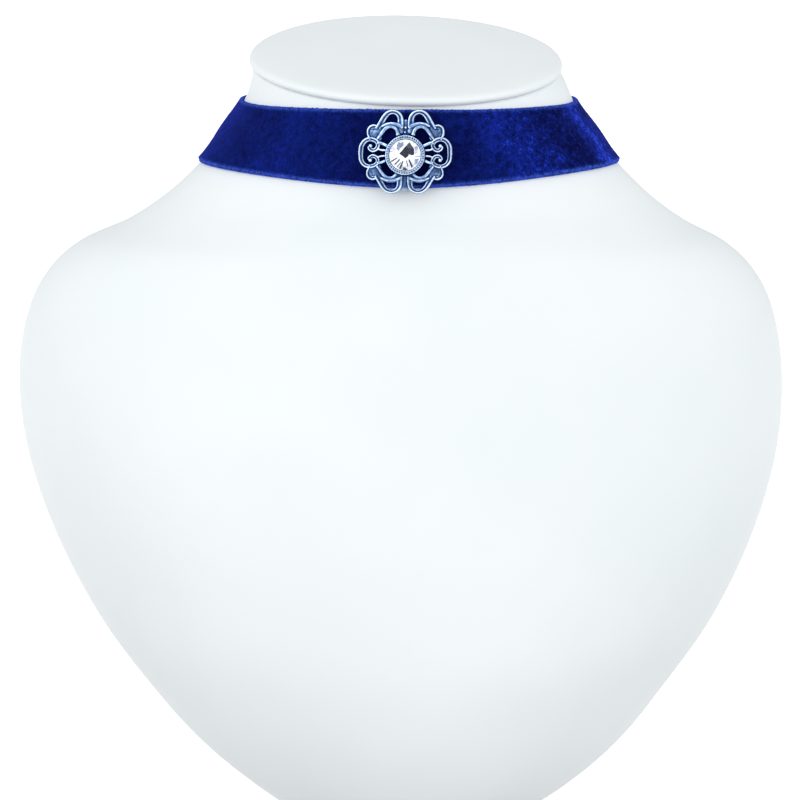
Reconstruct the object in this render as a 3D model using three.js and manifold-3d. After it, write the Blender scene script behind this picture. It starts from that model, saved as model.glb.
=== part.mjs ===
// A velvet ribbon choker with a cast filigree rosette and a round cut crystal, fastened round the neck
// of a plain display bust. Millimetres, +Z up, the front faces -Y. The origin lies on the bust's flat
// foot, in the middle of its width, on the axis that its sections are built round.
import * as THREE from "three";
import { ConvexGeometry } from "three/addons/geometries/ConvexGeometry.js";
import { mergeVertices } from "three/addons/utils/BufferGeometryUtils.js";
import Module from "manifold-3d";

const wasm = await Module();
wasm.setup();

// Driving dimensions of the bust
const bustHeight = 222.5; // foot to the centre of the neck's cut top
const bustHalfWidth = 111.7;
const chestDepth = 86; // axis to the front of the chest
const backDepth = 42; // axis to the back
const neckHalfWidth = 53.4; // under the middle of the ribbon
const neckHalfDepth = 45.2;
const neckLean = 11.6; // degrees that the neck's top slopes down to the front
const neckRoll = 1.6; // degrees that it slopes down to the right, as on the hand-covered bust
const capThickness = 2.7;
const capOverhang = 1;
const capEdgeRadius = 1.3;

// Driving dimensions of the choker
const ribbonWidth = 22;
const ribbonThickness = 1.1;
const ribbonDrop = 20; // neck's top to the ribbon's middle line in front
const ribbonRise = 1.2; // how much higher the middle line runs at the sides of the neck
const ribbonEdgeRadius = 0.3;
const claspLength = 14;
const claspWall = 0.8;
const claspWeb = 2; // solid middle between the two ribbon ends
const rosetteHalfWidth = 13;
const rosetteHalfHeight = 11.9;
const rosetteLowerShare = 0.91; // the lower loops are a little shorter than the upper ones
const rosetteDrop = 2.2; // bezel's axis below the ribbon's middle
const filigreeRise = 0.7; // filigree's centre above the bezel's axis
const wireHeight = 1.5;
const domeRise = 0.9; // how far the rosette's middle stands above its rim
const bezelRadius = 5.5;
const bezelHeight = 3.7;
const bezelFloor = 0.5;
const bezelFootShare = 0.94; // radius of the cup's foot, which flares out over bezelFlareShare of its height
const bezelFlareShare = 0.2;
const bezelWellShare = 0.35; // radius of the well under the crystal, of the bore
const girdleSkirt = 0.6; // how far the bore runs straight down below the crystal's girdle
const rimBevel = 0.35;
const millCount = 32;
const millRise = 0.3;
const millWidthShare = 0.6; // of the rim's width
const millValleyShare = 0.25; // height of the valleys between the ridges, of millRise
const crystalRadius = 4.4;
const crystalTableShare = 0.56;
const starShare = 0.8; // where the kites' outer corners lie
const lowerShare = 0.3; // where the lower girdle facets end
const crownHeight = 1.3;
const girdleHeight = 0.25;
const pavilionDepth = 2.5;
const rivetRadius = 1;
const rivetHeadRadius = 2.6;
const rivetHeadThickness = 0.6;

// Clearances
const seatGap = 0.3; // between pieces that rest on each other
const stoneGap = 0.15; // round the crystal's girdle

// Mesh fineness
const bustSides = 60;
const ribbonStations = 84;
const claspStations = 12;
const slotStations = 8;
const capSides = 48;
const bezelSides = 40;
const rivetSides = 20;
const wireSides = 5;
const lumpSides = 8;
const lumpRings = 5;
const profileSteps = 24; // to each row of the bust's sections

const degrees = THREE.MathUtils.degToRad;
const front = -Math.PI / 2;
const back = Math.PI / 2;

// Sections of the bust from the foot up, as shares: height of bustHeight, width of bustHalfWidth or
// neckHalfWidth, front and back of chestDepth and backDepth or of neckHalfDepth, lean of neckLean and
// neckRoll, aside (to the right) of bustHalfWidth. square is how far a section's back is from an
// ellipse: 2 is an ellipse, and more is boxier.
const sections = [
  { part: "body", height: 0, width: 0.224, front: 0.48, back: 0.8, lean: 0, square: 2.4, aside: 0 },
  { part: "body", height: 0.024, width: 0.307, front: 0.6, back: 0.87, lean: 0, square: 2.5, aside: 0.013 },
  { part: "body", height: 0.07, width: 0.446, front: 0.74, back: 0.93, lean: 0, square: 2.7, aside: 0.018 },
  { part: "body", height: 0.126, width: 0.575, front: 0.85, back: 0.96, lean: 0, square: 2.8, aside: 0.014 },
  { part: "body", height: 0.197, width: 0.692, front: 0.94, back: 0.98, lean: 0, square: 2.9, aside: 0.007 },
  { part: "body", height: 0.287, width: 0.818, front: 1, back: 1, lean: 0, square: 3, aside: 0.003 },
  { part: "body", height: 0.395, width: 0.922, front: 1, back: 1, lean: 0, square: 3, aside: -0.003 },
  { part: "body", height: 0.502, width: 0.985, front: 0.95, back: 1, lean: 0, square: 3, aside: -0.009 },
  { part: "body", height: 0.6, width: 1, front: 0.88, back: 1, lean: 0, square: 3, aside: -0.013 },
  { part: "body", height: 0.682, width: 0.974, front: 0.81, back: 0.99, lean: 0, square: 2.8, aside: -0.012 },
  { part: "body", height: 0.735, width: 0.921, front: 0.745, back: 0.98, lean: 0, square: 2.6, aside: -0.01 },
  { part: "body", height: 0.771, width: 0.843, front: 0.7, back: 0.98, lean: 0, square: 2.4, aside: -0.007 },
  { part: "body", height: 0.798, width: 0.733, front: 0.65, back: 0.98, lean: 0, square: 2.2, aside: 0.002 },
  { part: "body", height: 0.825, width: 0.652, front: 0.59, back: 0.99, lean: 0, square: 2.1, aside: 0.006 },
  { part: "neck", height: 0.852, width: 1.232, front: 1.06, back: 0.94, lean: 0, square: 2, aside: 0.009 },
  { part: "neck", height: 0.885, width: 1.1, front: 1.033, back: 0.93, lean: 0.15, square: 2, aside: 0.012 },
  { part: "neck", height: 0.918, width: 1.005, front: 1.01, back: 0.94, lean: 0.35, square: 2, aside: 0.013 },
  { part: "neck", height: 0.951, width: 0.902, front: 0.99, back: 0.96, lean: 0.65, square: 2, aside: 0.013 },
  { part: "neck", height: 0.978, width: 0.858, front: 0.97, back: 0.995, lean: 0.88, square: 2, aside: 0.011 },
  { part: "neck", height: 1, width: 0.829, front: 0.935, back: 1.03, lean: 1, square: 2, aside: 0.002 },
];

// The sizes in millimetres that a row of shares stands for.
function sectionSizes(row) {
  const isNeck = row.part === "neck";
  return {
    height: row.height * bustHeight,
    width: row.width * (isNeck ? neckHalfWidth : bustHalfWidth),
    front: row.front * (isNeck ? neckHalfDepth : chestDepth),
    back: row.back * (isNeck ? neckHalfDepth : backDepth),
    lean: row.lean * degrees(neckLean),
    roll: row.lean * degrees(neckRoll),
    square: row.square,
    aside: row.aside * bustHalfWidth,
  };
}

const sizes = sections.map(sectionSizes);
const topRow = sizes.length - 1;
const neckRow = sections.findIndex(({ part }) => part === "neck");
const shoulderRow = neckRow - 4;

// A smooth value between the rows of sizes, by a Catmull-Rom curve through them.
function blended(key, level) {
  const row = Math.min(Math.floor(level), topRow - 1);
  const at = (i) => sizes[THREE.MathUtils.clamp(i, 0, topRow)][key];
  const t = level - row;
  const [a, b, c, d] = [at(row - 1), at(row), at(row + 1), at(row + 2)];
  return b + 0.5 * t * (c - a + t * (2 * a - 5 * b + 4 * c - d + t * (3 * (b - c) + d - a)));
}

// A point on the bust's surface: angle round it, level in rows of the table from 0 to topRow.
function bustPoint(angle, level) {
  const [c, s] = [Math.cos(angle), Math.sin(angle)];
  const power = s > 0 ? 2 / blended("square", level) : 1;
  const depth = blended(s > 0 ? "back" : "front", level);
  const x = Math.sign(c) * Math.abs(c) ** power * blended("width", level);
  const y = Math.sign(s) * Math.abs(s) ** power * depth;
  const point = new THREE.Vector3(x, y, 0);
  point.applyEuler(new THREE.Euler(blended("lean", level), blended("roll", level), 0));
  return point.add(new THREE.Vector3(blended("aside", level), 0, blended("height", level)));
}

// The outward normal of the bust's surface there.
function bustNormal(angle, level) {
  const step = 1e-3;
  const low = Math.min(level, topRow - step);
  const along = bustPoint(angle + step, low).sub(bustPoint(angle - step, low));
  const up = bustPoint(angle, low + step).sub(bustPoint(angle, low));
  return along.cross(up).normalize();
}

// A closed mesh through rings of points, each ring turning anticlockwise seen from the last ring's side.
// Rings that close on themselves make a hoop; otherwise the two ends get flat caps.
function loft(rings, isHoop = false) {
  const count = rings[0].length;
  const vertices = rings.flat();
  const faces = [];
  const spans = isHoop ? rings.length : rings.length - 1;
  for (let i = 0; i < spans; i++) {
    const [low, high] = [i * count, ((i + 1) % rings.length) * count];
    for (let j = 0; j < count; j++) {
      const k = (j + 1) % count;
      faces.push(low + j, low + k, high + k, low + j, high + k, high + j);
    }
  }
  if (!isHoop) {
    const last = (rings.length - 1) * count;
    const middle = (ring) => ring.reduce((sum, p) => sum.add(p), new THREE.Vector3()).divideScalar(count);
    vertices.push(middle(rings[0]), middle(rings.at(-1)));
    for (let j = 0; j < count; j++) {
      const k = (j + 1) % count;
      faces.push(k, j, vertices.length - 2, last + j, last + k, vertices.length - 1);
    }
  }
  const geometry = new THREE.BufferGeometry().setFromPoints(vertices);
  geometry.setIndex(faces);
  return geometry;
}

// Solids for joining and cutting, and back again
function solidOf(geometry) {
  const bare = geometry.clone();
  bare.deleteAttribute("normal");
  bare.deleteAttribute("uv");
  const merged = mergeVertices(bare, 1e-4);
  return new wasm.Manifold(
    new wasm.Mesh({
      numProp: 3,
      vertProperties: new Float32Array(merged.attributes.position.array),
      triVerts: new Uint32Array(merged.index.array),
    }),
  );
}

function geometryOf(solid) {
  const { vertProperties, triVerts } = solid.getMesh();
  const geometry = new THREE.BufferGeometry();
  geometry.setAttribute("position", new THREE.BufferAttribute(vertProperties, 3));
  geometry.setIndex(new THREE.BufferAttribute(triVerts, 1));
  return geometry;
}

const joined = (geometries) => geometries.map(solidOf).reduce((sum, solid) => sum.add(solid));

// The bust's covered body, from the flat foot to the neck's sloping top
function bustBody() {
  const turn = (j) => (j / bustSides) * 2 * Math.PI;
  const ring = (_, level) => Array.from({ length: bustSides }, (__, j) => bustPoint(turn(j), level));
  return loft(sizes.map(ring));
}

// The oval cap on the neck, with a rounded edge that stands out past the neck
function bustCap() {
  const { width: neckWidth, front: neckFront, back: neckBack } = sizes[topRow];
  const width = neckWidth + capOverhang;
  const arcSteps = 3;
  const outline = [new THREE.Vector2(0, 0)];
  for (const corner of [0, 1]) {
    for (let i = 0; i <= arcSteps; i++) {
      const angle = ((i / arcSteps + corner - 1) * Math.PI) / 2;
      const height = corner ? capThickness - capEdgeRadius : capEdgeRadius;
      const reach = 1 - (capEdgeRadius / width) * (1 - Math.cos(angle));
      outline.push(new THREE.Vector2(reach * width, height + capEdgeRadius * Math.sin(angle)));
    }
  }
  outline.push(new THREE.Vector2(0, capThickness));
  const geometry = new THREE.LatheGeometry(outline, capSides);
  geometry.rotateX(Math.PI / 2);
  const places = geometry.attributes.position;
  for (let i = 0; i < places.count; i++) {
    const y = places.getY(i);
    places.setY(i, (y * ((y < 0 ? neckFront : neckBack) + capOverhang)) / width);
  }
  return geometry;
}

// The line up the bust at one angle, as levels and the lengths along it
function profileAt(angle) {
  const levels = [];
  const lengths = [];
  let last = null;
  for (let i = shoulderRow * profileSteps; i <= topRow * profileSteps; i++) {
    const point = bustPoint(angle, i / profileSteps);
    lengths.push(last ? lengths.at(-1) + point.distanceTo(last) : 0);
    levels.push(i / profileSteps);
    last = point;
  }
  return { levels, lengths };
}

// The level where values, which grow with levels, reach a wanted value.
function levelWhere(levels, values, wanted) {
  const i = THREE.MathUtils.clamp(values.findIndex((v) => v >= wanted), 1, values.length - 1);
  const t = (wanted - values[i - 1]) / (values[i] - values[i - 1]);
  return THREE.MathUtils.lerp(levels[i - 1], levels[i], t);
}

// The height of the ribbon's middle line, which a straight ribbon on a widening neck lifts at the sides
const ribbonMiddle = (angle) => bustHeight - ribbonDrop + ribbonRise * Math.abs(Math.cos(angle));

// A place on the ribbon: across is the distance up from its middle line, out the distance off the neck.
function ribbonPoint(angle, across, out) {
  const { levels, lengths } = profileAt(angle);
  const heights = levels.map((level) => bustPoint(angle, level).z);
  const middleLevel = levelWhere(levels, heights, ribbonMiddle(angle));
  const middleLength = levelWhere(lengths, levels, middleLevel);
  const level = levelWhere(levels, lengths, middleLength + across);
  return bustPoint(angle, level).addScaledVector(bustNormal(angle, level), out);
}

// The ribbon stands further off the neck where the rivet's head and the clasp's inner wall lie behind it.
const snug = seatGap;
const overRivet = rivetHeadThickness + 2 * seatGap;
const overClasp = claspWall + 2 * seatGap;
const levelAngle = degrees(6);
const riseAngle = degrees(26);

function ribbonOffset(angle) {
  const near = (centre) => {
    const away = Math.abs(Math.atan2(Math.sin(angle - centre), Math.cos(angle - centre)));
    return 1 - THREE.MathUtils.smoothstep(away, levelAngle, riseAngle);
  };
  return snug + (overRivet - snug) * near(front) + (overClasp - snug) * near(back);
}

// A strip that follows the neck from one angle to another, over a width, between two distances off the neck
function strip({ from, to, width, inner, outer, edge, stations }) {
  const rings = [];
  const half = width / 2;
  for (let i = 0; i <= stations; i++) {
    const angle = THREE.MathUtils.lerp(from, to, i / stations);
    const base = ribbonOffset(angle);
    const outline = [
      [-half, inner + edge],
      [-half + edge, inner],
      [0, inner],
      [half - edge, inner],
      [half, inner + edge],
      [half, outer - edge],
      [half - edge, outer],
      [0, outer],
      [-half + edge, outer],
      [-half, outer - edge],
    ];
    rings.push(outline.map(([across, out]) => ribbonPoint(angle, across, base + out)));
  }
  return loft(rings);
}

// The angle round the neck that a length along the ribbon's back takes up
const backRow = sizes[neckRow + 1];
const backRadius = backRow.width ** 2 / backRow.back;
const backAngle = (length) => length / backRadius;

const ribbonEnd = backAngle(claspWeb / 2 + seatGap);
const claspEnd = backAngle(claspLength / 2);

function ribbonStrip() {
  const whole = solidOf(
    strip({
      from: back + ribbonEnd,
      to: back + 2 * Math.PI - ribbonEnd,
      width: ribbonWidth,
      inner: 0,
      outer: ribbonThickness,
      edge: ribbonEdgeRadius,
      stations: ribbonStations,
    }),
  );
  return whole.subtract(rivetHole());
}

// The rosette's own frame: X along the ribbon, Y up it, Z out of it, with its origin on the ribbon's face
function rosetteFrame() {
  const at = (across, out) => ribbonPoint(front, across, ribbonOffset(front) + out);
  const origin = at(-rosetteDrop, ribbonThickness);
  const up = at(1 - rosetteDrop, ribbonThickness).sub(at(-1 - rosetteDrop, ribbonThickness)).normalize();
  const right = new THREE.Vector3(1, 0, 0);
  const out = right.clone().cross(up);
  return new THREE.Matrix4().makeBasis(right, up, out).setPosition(origin);
}

function disc(radius, low, high, sides) {
  const geometry = new THREE.CylinderGeometry(radius, radius, high - low, sides);
  geometry.rotateX(Math.PI / 2);
  geometry.translate(0, 0, (low + high) / 2);
  return geometry;
}

const cutOverrun = 1.5; // how far a cut runs past the face that it opens

function rivetHole() {
  const hole = disc(rivetRadius + seatGap, -ribbonThickness - cutOverrun, cutOverrun, rivetSides);
  hole.applyMatrix4(rosetteFrame());
  return solidOf(hole);
}

const slotEdge = 0.05;

// The plain clasp: one piece that grips both ends of the ribbon
function clasp() {
  const body = strip({
    from: back - claspEnd,
    to: back + claspEnd,
    width: ribbonWidth + 2 * (seatGap + claspWall),
    inner: -seatGap - claspWall,
    outer: ribbonThickness + seatGap + claspWall,
    edge: claspWall / 2,
    stations: claspStations,
  });
  const slot = (side) => {
    const [near, far] = [backAngle(claspWeb / 2), backAngle(claspLength / 2 + cutOverrun)];
    return strip({
      from: back + (side > 0 ? near : -far),
      to: back + (side > 0 ? far : -near),
      width: ribbonWidth + 2 * seatGap,
      inner: -seatGap,
      outer: ribbonThickness + seatGap,
      edge: slotEdge,
      stations: slotStations,
    });
  };
  return solidOf(body).subtract(solidOf(slot(1))).subtract(solidOf(slot(-1)));
}

// The wires of one quarter of the rosette. x is a share of rosetteHalfWidth, y of rosetteHalfHeight,
// and thick is the wire's half width as a share of wireHeight.
const quarterWires = {
  topLoop: [
    { x: 0.115, y: 0.6, thick: 0.6 },
    { x: 0.11, y: 0.72, thick: 0.6 },
    { x: 0.125, y: 0.85, thick: 0.54 },
    { x: 0.185, y: 0.94, thick: 0.44 },
    { x: 0.285, y: 0.975, thick: 0.4 },
    { x: 0.385, y: 0.94, thick: 0.46 },
    { x: 0.455, y: 0.855, thick: 0.52 },
    { x: 0.505, y: 0.76, thick: 0.54 },
    { x: 0.555, y: 0.66, thick: 0.54 },
    { x: 0.61, y: 0.56, thick: 0.52 },
  ],
  loopFoot: [
    { x: 0.06, y: 0.6, thick: 0.4 },
    { x: 0.16, y: 0.66, thick: 0.42 },
    { x: 0.29, y: 0.69, thick: 0.42 },
    { x: 0.42, y: 0.675, thick: 0.44 },
    { x: 0.53, y: 0.64, thick: 0.44 },
  ],
  innerArc: [
    { x: 0.16, y: 0.42, thick: 0.42 },
    { x: 0.185, y: 0.53, thick: 0.38 },
    { x: 0.245, y: 0.605, thick: 0.36 },
    { x: 0.335, y: 0.625, thick: 0.36 },
    { x: 0.42, y: 0.59, thick: 0.38 },
    { x: 0.485, y: 0.51, thick: 0.42 },
    { x: 0.54, y: 0.42, thick: 0.46 },
    { x: 0.6, y: 0.34, thick: 0.46 },
  ],
  leafRim: [
    { x: 0.6, y: 0.6, thick: 0.36 },
    { x: 0.68, y: 0.63, thick: 0.42 },
    { x: 0.745, y: 0.6, thick: 0.46 },
    { x: 0.775, y: 0.54, thick: 0.48 },
    { x: 0.775, y: 0.46, thick: 0.46 },
    { x: 0.75, y: 0.385, thick: 0.42 },
    { x: 0.73, y: 0.33, thick: 0.4 },
  ],
  sideScroll: [
    { x: 0.95, y: -0.02, thick: 0.48 },
    { x: 0.94, y: 0.144, thick: 0.48 },
    { x: 0.905, y: 0.24, thick: 0.44 },
    { x: 0.845, y: 0.305, thick: 0.42 },
    { x: 0.765, y: 0.33, thick: 0.4 },
    { x: 0.676, y: 0.315, thick: 0.4 },
    { x: 0.605, y: 0.258, thick: 0.4 },
    { x: 0.585, y: 0.177, thick: 0.4 },
    { x: 0.625, y: 0.1, thick: 0.4 },
    { x: 0.699, y: 0.07, thick: 0.38 },
    { x: 0.757, y: 0.11, thick: 0.38 },
    { x: 0.768, y: 0.165, thick: 0.38 },
  ],
  scrollTie: [
    { x: 0.6, y: 0.25, thick: 0.36 },
    { x: 0.498, y: 0.23, thick: 0.34 },
    { x: 0.35, y: 0.15, thick: 0.36 },
  ],
  bezelTie: [
    { x: 0.6, y: 0.11, thick: 0.3 },
    { x: 0.51, y: 0.075, thick: 0.3 },
    { x: 0.38, y: 0.07, thick: 0.32 },
  ],
};

// The flat bodies that fill between the wires, as oval lumps. tilt is in degrees, and long, wide and
// high are half lengths as shares of wireHeight.
const quarterLumps = [
  { name: "leaf", x: 0.61, y: 0.46, long: 1.5, wide: 1.05, high: 0.44, tilt: -42 },
  { name: "scrollEnd", x: 0.745, y: 0.175, long: 0.46, wide: 0.42, high: 0.58, tilt: 0 },
  { name: "shoulder", x: 0.1, y: 0.54, long: 0.8, wide: 0.6, high: 0.46, tilt: 70 },
];

const stemShare = 0.16;
const stemHeightShare = 0.7;
const stemFootShare = 0.4; // where the stems start and end, of the half height
const stemTopShare = 0.8;

const filigreeY = (share) => filigreeRise + share * rosetteHalfHeight;

const domeAt = (x, y) => {
  const reach = Math.min(1, Math.hypot(x / rosetteHalfWidth, (y - filigreeRise) / rosetteHalfHeight));
  return seatGap + wireHeight / 2 + domeRise * (1 - reach ** 2);
};

// One wire through the rows of a table, flat side down, in the quarter that the two signs choose
function wire(rows, signX, signY) {
  const path = new THREE.CatmullRomCurve3(
    rows.map(({ x, y }) => new THREE.Vector3(signX * x * rosetteHalfWidth, filigreeY(signY * y), 0)),
    false,
    "centripetal",
  );
  const steps = rows.length + 1;
  const rings = [];
  for (let i = 0; i <= steps; i++) {
    const t = i / steps;
    const centre = path.getPoint(t);
    const along = path.getTangent(t);
    const side = new THREE.Vector3(along.y, -along.x, 0);
    const row = Math.min(Math.floor(t * (rows.length - 1)), rows.length - 2);
    const share = THREE.MathUtils.lerp(rows[row].thick, rows[row + 1].thick, t * (rows.length - 1) - row);
    const ring = [];
    for (let j = 0; j < wireSides; j++) {
      const turn = (j / wireSides + 0.25) * 2 * Math.PI;
      const high = domeAt(centre.x, centre.y) + (Math.sin(turn) * wireHeight) / 2;
      ring.push(centre.clone().addScaledVector(side, -Math.cos(turn) * share * wireHeight).setZ(high));
    }
    rings.push(ring);
  }
  return loft(rings);
}

function lump({ x, y, long, wide, high, tilt }, signX, signY) {
  const [cx, cy] = [signX * x * rosetteHalfWidth, filigreeY(signY * y)];
  const geometry = new THREE.SphereGeometry(1, lumpSides, lumpRings);
  geometry.scale(long * wireHeight, wide * wireHeight, high * wireHeight);
  geometry.rotateZ(degrees(tilt) * signX * signY);
  geometry.translate(cx, cy, domeAt(cx, cy));
  return geometry;
}

// The upper and the lower stem, each between the bezel and the notch where two loops part
function stems() {
  const width = rosetteHalfWidth * stemShare;
  const length = rosetteHalfHeight * (stemTopShare - stemFootShare);
  return [1, -1].map((sign) => {
    const geometry = new THREE.BoxGeometry(width, length, wireHeight * stemHeightShare);
    const middle = filigreeY((sign * (stemFootShare + stemTopShare)) / 2);
    geometry.translate(0, middle, domeAt(0, middle));
    return geometry;
  });
}

// The cup that holds the crystal, with a floor and a rim
const girdleLevel = bezelFloor + seatGap * 2 + pavilionDepth;
const bore = crystalRadius + stoneGap;
const boreFoot = girdleLevel - girdleSkirt; // where the bore turns into the cone under the crystal

function bezelCup() {
  const outline = [
    [0, 0],
    [bezelRadius * bezelFootShare, 0],
    [bezelRadius, bezelHeight * bezelFlareShare],
    [bezelRadius, bezelHeight - rimBevel],
    [bezelRadius - rimBevel, bezelHeight],
    [bore, bezelHeight],
    [bore, boreFoot],
    [bore * bezelWellShare, bezelFloor],
    [0, bezelFloor],
  ].map(([r, z]) => new THREE.Vector2(r, z + seatGap));
  const geometry = new THREE.LatheGeometry(outline, bezelSides);
  geometry.rotateX(Math.PI / 2);
  return geometry;
}

// The milled ring on the rim: ridges that stand up from it all the way round
function milledRing() {
  const middle = (bezelRadius + bore) / 2;
  const halfWidth = ((bezelRadius - bore) * millWidthShare) / 2;
  const rimLevel = seatGap + bezelHeight;
  const rings = [];
  for (let i = 0; i < millCount * 2; i++) {
    const angle = (i / (millCount * 2)) * 2 * Math.PI;
    const crest = rimLevel + (i % 2 ? millRise : millRise * millValleyShare);
    const around = (r, z) => new THREE.Vector3(r * Math.cos(angle), r * Math.sin(angle), z);
    rings.push([
      around(middle + halfWidth, rimLevel - rimBevel),
      around(middle + halfWidth, crest - millRise / 2),
      around(middle, crest),
      around(middle - halfWidth, crest - millRise / 2),
      around(middle - halfWidth, rimLevel - rimBevel),
    ]);
  }
  return loft(rings, true);
}

function rivet() {
  const headTop = -ribbonThickness - seatGap;
  return [
    disc(rivetRadius, headTop - rivetHeadThickness / 2, seatGap + bezelFloor / 2, rivetSides),
    disc(rivetHeadRadius, headTop - rivetHeadThickness, headTop, rivetSides),
  ];
}

function rosette() {
  const pieces = [bezelCup(), milledRing(), ...stems(), ...rivet()];
  for (const signX of [1, -1]) {
    for (const signY of [1, -rosetteLowerShare]) {
      pieces.push(...Object.values(quarterWires).map((rows) => wire(rows, signX, signY)));
      pieces.push(...quarterLumps.map((row) => lump(row, signX, signY)));
    }
  }
  const hollow = disc(bore, seatGap + boreFoot, seatGap + bezelHeight + cutOverrun, bezelSides);
  return joined(pieces.map(facingOut)).subtract(solidOf(hollow));
}

// A mirrored wire comes out inside out, so its faces are turned.
function facingOut(geometry) {
  const solid = solidOf(geometry);
  if (solid.volume() > 0) return geometry;
  const index = geometry.index.array;
  for (let i = 0; i < index.length; i += 3) [index[i], index[i + 1]] = [index[i + 1], index[i]];
  return geometry;
}

// The round cut crystal: a table, eight star, eight kite and sixteen girdle facets above the girdle, and
// eight main and sixteen lower facets below it. Its origin is the centre of the girdle's lower edge.
function crystal() {
  const points = [];
  const eighth = Math.PI / 4;
  const around = (r, angle, z) => points.push(new THREE.Vector3(r * Math.cos(angle), r * Math.sin(angle), z));
  const table = crystalRadius * crystalTableShare;
  const starReach = crystalRadius * starShare;
  const lowerReach = crystalRadius * lowerShare;
  const half = Math.cos(eighth / 2);
  const starFall = (crystalRadius - starReach * half) / (crystalRadius - table);
  for (let i = 0; i < 8; i++) {
    around(table, i * eighth, girdleHeight + crownHeight);
    around(starReach, (i + 0.5) * eighth, girdleHeight + crownHeight * starFall);
    around(lowerReach, (i + 0.5) * eighth, -pavilionDepth * (1 - (lowerReach * half) / crystalRadius));
  }
  for (let i = 0; i < 16; i++) {
    around(crystalRadius, (i * eighth) / 2, girdleHeight);
    around(crystalRadius, (i * eighth) / 2, 0);
  }
  points.push(new THREE.Vector3(0, 0, -pavilionDepth));
  return new ConvexGeometry(points);
}

function material(color, roughness, metalness) {
  return new THREE.MeshStandardMaterial({ color, roughness, metalness });
}

const leatherette = material(0xf1f6f7, 0.55, 0);
const velvet = material(0x0a1c86, 0.9, 0);
const silver = material(0xb9c8d8, 0.3, 1);
const glass = new THREE.MeshStandardMaterial({ color: 0xf4f6fa, roughness: 0.05, metalness: 0 });

function mesh(name, geometry, finish) {
  const made = new THREE.Mesh(geometry, finish);
  made.name = name;
  made.geometry.computeVertexNormals();
  return made;
}

const bustGroup = new THREE.Group();
const cap = mesh("bust_cap", bustCap(), leatherette);
cap.position.set(sizes[topRow].aside, 0, bustHeight + seatGap / Math.cos(degrees(neckLean)));
cap.rotation.set(degrees(neckLean), degrees(neckRoll), 0);
bustGroup.add(mesh("bust_body", bustBody(), leatherette), cap);

const rosetteGroup = new THREE.Group();
rosetteGroup.applyMatrix4(rosetteFrame());
const stone = mesh("crystal", crystal(), glass);
stone.position.z = seatGap + girdleLevel;
rosetteGroup.add(mesh("rosette", geometryOf(rosette()), silver), stone);

const choker = new THREE.Group();
choker.add(
  mesh("velvet_ribbon", geometryOf(ribbonStrip()), velvet),
  mesh("clasp", geometryOf(clasp()), silver),
  rosetteGroup,
);

const display = new THREE.Group();
display.add(bustGroup, choker);

export default display;
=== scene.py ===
import math
import random

import bpy
import numpy as np
from mathutils import Matrix, Vector, noise
from mathutils.geometry import delaunay_2d_cdt


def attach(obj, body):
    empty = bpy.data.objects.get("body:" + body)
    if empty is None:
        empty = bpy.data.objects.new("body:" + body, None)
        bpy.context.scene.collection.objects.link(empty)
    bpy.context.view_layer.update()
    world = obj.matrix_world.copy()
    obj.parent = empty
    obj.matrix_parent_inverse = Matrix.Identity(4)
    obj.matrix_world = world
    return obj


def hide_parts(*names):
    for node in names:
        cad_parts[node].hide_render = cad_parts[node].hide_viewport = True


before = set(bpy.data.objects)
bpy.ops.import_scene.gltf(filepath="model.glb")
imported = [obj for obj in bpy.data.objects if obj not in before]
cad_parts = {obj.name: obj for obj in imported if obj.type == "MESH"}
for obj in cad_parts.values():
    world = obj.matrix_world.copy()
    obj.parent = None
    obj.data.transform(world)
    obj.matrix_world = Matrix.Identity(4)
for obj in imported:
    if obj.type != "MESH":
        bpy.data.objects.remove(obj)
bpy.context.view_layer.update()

MM = 0.001

# Sizes of the bust and the choker, in millimetres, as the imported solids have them
BUST_HEIGHT = 222.5
BUST_HALF_WIDTH = 111.7
CHEST_DEPTH = 86
BACK_DEPTH = 42
NECK_HALF_WIDTH = 53.4
NECK_HALF_DEPTH = 45.2
NECK_LEAN = math.radians(11.6)
NECK_ROLL = math.radians(1.6)
CAP_OVERHANG = 1
RIBBON_WIDTH = 22
RIBBON_THICKNESS = 1.1
RIBBON_DROP = 20
RIBBON_RISE = 1.2
CLASP_WALL = 0.8
CLASP_WEB = 2
ROSETTE_HALF_WIDTH = 13
ROSETTE_HALF_HEIGHT = 11.9
ROSETTE_LOWER_SHARE = 0.91
ROSETTE_DROP = 2.2
FILIGREE_RISE = 0.7
WIRE_HEIGHT = 1.5
DOME_RISE = 0.9
BEZEL_RADIUS = 5.5
BEZEL_HEIGHT = 3.7
BEZEL_FLOOR = 0.5
CRYSTAL_RADIUS = 4.4
PAVILION_DEPTH = 2.5
RIVET_HEAD_THICKNESS = 0.6
SEAT_GAP = 0.3
STONE_GAP = 0.15
FRONT = -math.pi / 2
BACK = math.pi / 2

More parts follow.
